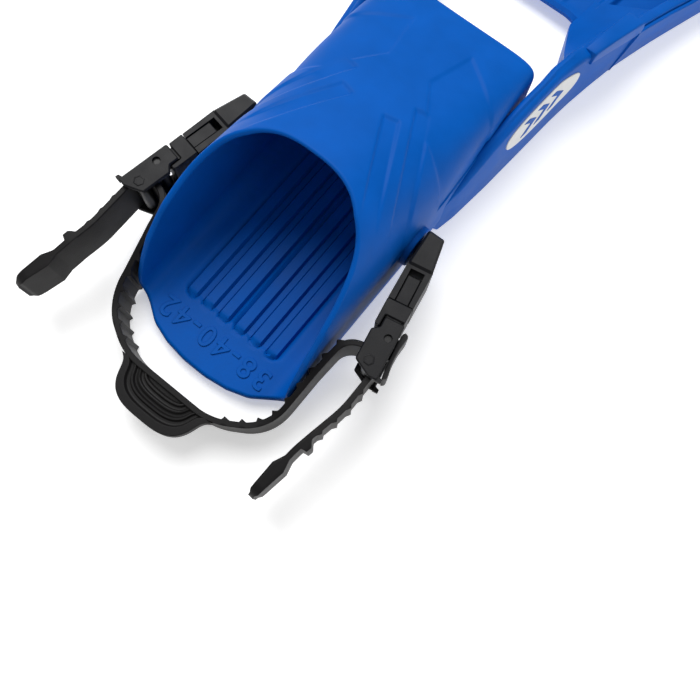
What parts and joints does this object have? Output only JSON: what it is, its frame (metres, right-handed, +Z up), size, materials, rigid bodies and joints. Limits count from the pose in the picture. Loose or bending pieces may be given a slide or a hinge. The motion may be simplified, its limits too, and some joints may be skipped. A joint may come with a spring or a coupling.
{
  "type": "open-heel swim fin",
  "caption": "Open-heel swim fin: ribbed foot pocket with slanted opening and open toe, side arms, flexible blade, quick-release buckles and an adjustable heel strap with pull tab.",
  "frame": {"origin": "on the floor, under the middle of the heel seat, on the underside of the first tread bar", "axes": "+Y from heel to blade tip, +Z up from the sole, +X to the wearer's right"},
  "size_m": [0.216, 0.5758, 0.0849],
  "materials": {
    "pocket_rubber": "satin blue thermoplastic rubber",
    "blade_plastic": "satin blue moulded plastic",
    "rail_rubber": "matt dark blue rubber",
    "strap_rubber": "matt black rubber",
    "buckle_plastic": "fine-textured dark grey acetal",
    "pin_plastic": "satin black acetal",
    "spring_steel": "drawn stainless wire"
  },
  "bodies": {
    "root": {"foot_pocket": "pocket_rubber", "blade": "blade_plastic", "left_edge_rail": "rail_rubber", "left_stud": "pin_plastic", "right_edge_rail": "rail_rubber", "right_stud": "pin_plastic"},
    "strap": {"heel_strap": "strap_rubber"},
    "left_clip": {"left_anchor_clip": "buckle_plastic"},
    "left_frame": {"left_buckle_frame": "buckle_plastic", "left_roller_pin": "pin_plastic", "left_lever_pin": "pin_plastic", "left_lever_spring": "spring_steel"},
    "left_top_latch": {"left_upper_latch": "buckle_plastic"},
    "left_bottom_latch": {"left_lower_latch": "buckle_plastic"},
    "left_release_lever": {"left_lever": "buckle_plastic"},
    "left_strap_roller": {"left_roller": "pin_plastic"},
    "right_clip": {"right_anchor_clip": "buckle_plastic"},
    "right_frame": {"right_buckle_frame": "buckle_plastic", "right_roller_pin": "pin_plastic", "right_lever_pin": "pin_plastic", "right_lever_spring": "spring_steel"},
    "right_top_latch": {"right_upper_latch": "buckle_plastic"},
    "right_bottom_latch": {"right_lower_latch": "buckle_plastic"},
    "right_release_lever": {"right_lever": "buckle_plastic"},
    "right_strap_roller": {"right_roller": "pin_plastic"}
  },
  "joints": [
    {"name": "strap_swing", "type": "hinge", "parent": "root", "child": "strap", "pos_m": [0, 0.086, 0.0305], "axis": [-1, 0, 0], "range_deg": [-20, 120]},
    {"name": "left_clip_swing", "type": "hinge", "parent": "root", "child": "left_clip", "pos_m": [-0.0595, 0.086, 0.0305], "axis": [-1, 0, 0], "range_deg": [-20, 120]},
    {"name": "left_release", "type": "slide", "parent": "strap", "child": "left_frame", "axis": [-0.1908, -0.9816, 0], "range_m": [0, 0.018], "deforming": ["heel_strap"]},
    {"name": "left_top_press", "type": "hinge", "parent": "left_frame", "child": "left_top_latch", "pos_m": [-0.06566, 0.05429, 0.0403], "axis": [-0.9816, 0.1908, 0], "range_deg": [0, 7], "stiffness_Nm_per_rad": 0.004, "springref_deg": -5.73},
    {"name": "left_bottom_press", "type": "hinge", "parent": "left_frame", "child": "left_bottom_latch", "pos_m": [-0.06566, 0.05429, 0.0207], "axis": [0.9816, -0.1908, 0], "range_deg": [0, 7], "stiffness_Nm_per_rad": 0.004, "springref_deg": -5.73},
    {"name": "left_lever_lift", "type": "hinge", "parent": "left_frame", "child": "left_release_lever", "pos_m": [-0.07141, 0.03677, 0.0305], "axis": [0, 0, -1], "range_deg": [0, 20], "stiffness_Nm_per_rad": 0.02, "springref_deg": -11.46, "deforming": ["left_lever_spring"]},
    {"name": "left_roller_spin", "type": "hinge", "parent": "left_frame", "child": "left_strap_roller", "pos_m": [-0.07064, 0.02348, 0.0305], "axis": [0, 0, 1], "continuous": true},
    {"name": "right_clip_swing", "type": "hinge", "parent": "root", "child": "right_clip", "pos_m": [0.0595, 0.086, 0.0305], "axis": [-1, 0, 0], "range_deg": [-20, 120]},
    {"name": "right_release", "type": "slide", "parent": "strap", "child": "right_frame", "axis": [0.1908, -0.9816, 0], "range_m": [0, 0.018], "deforming": ["heel_strap"]},
    {"name": "right_top_press", "type": "hinge", "parent": "right_frame", "child": "right_top_latch", "pos_m": [0.06566, 0.05429, 0.0403], "axis": [-0.9816, -0.1908, 0], "range_deg": [0, 7], "stiffness_Nm_per_rad": 0.004, "springref_deg": -5.73},
    {"name": "right_bottom_press", "type": "hinge", "parent": "right_frame", "child": "right_bottom_latch", "pos_m": [0.06566, 0.05429, 0.0207], "axis": [0.9816, 0.1908, 0], "range_deg": [0, 7], "stiffness_Nm_per_rad": 0.004, "springref_deg": -5.73},
    {"name": "right_lever_lift", "type": "hinge", "parent": "right_frame", "child": "right_release_lever", "pos_m": [0.07141, 0.03677, 0.0305], "axis": [0, 0, 1], "range_deg": [0, 20], "stiffness_Nm_per_rad": 0.02, "springref_deg": -11.46, "deforming": ["right_lever_spring"]},
    {"name": "right_roller_spin", "type": "hinge", "parent": "right_frame", "child": "right_strap_roller", "pos_m": [0.07064, 0.02348, 0.0305], "axis": [0, 0, 1], "continuous": true}
  ],
  "couplings": [
    {"joint": "left_clip_swing", "follows": "strap_swing", "ratio": 1},
    {"joint": "right_clip_swing", "follows": "strap_swing", "ratio": 1}
  ]
}
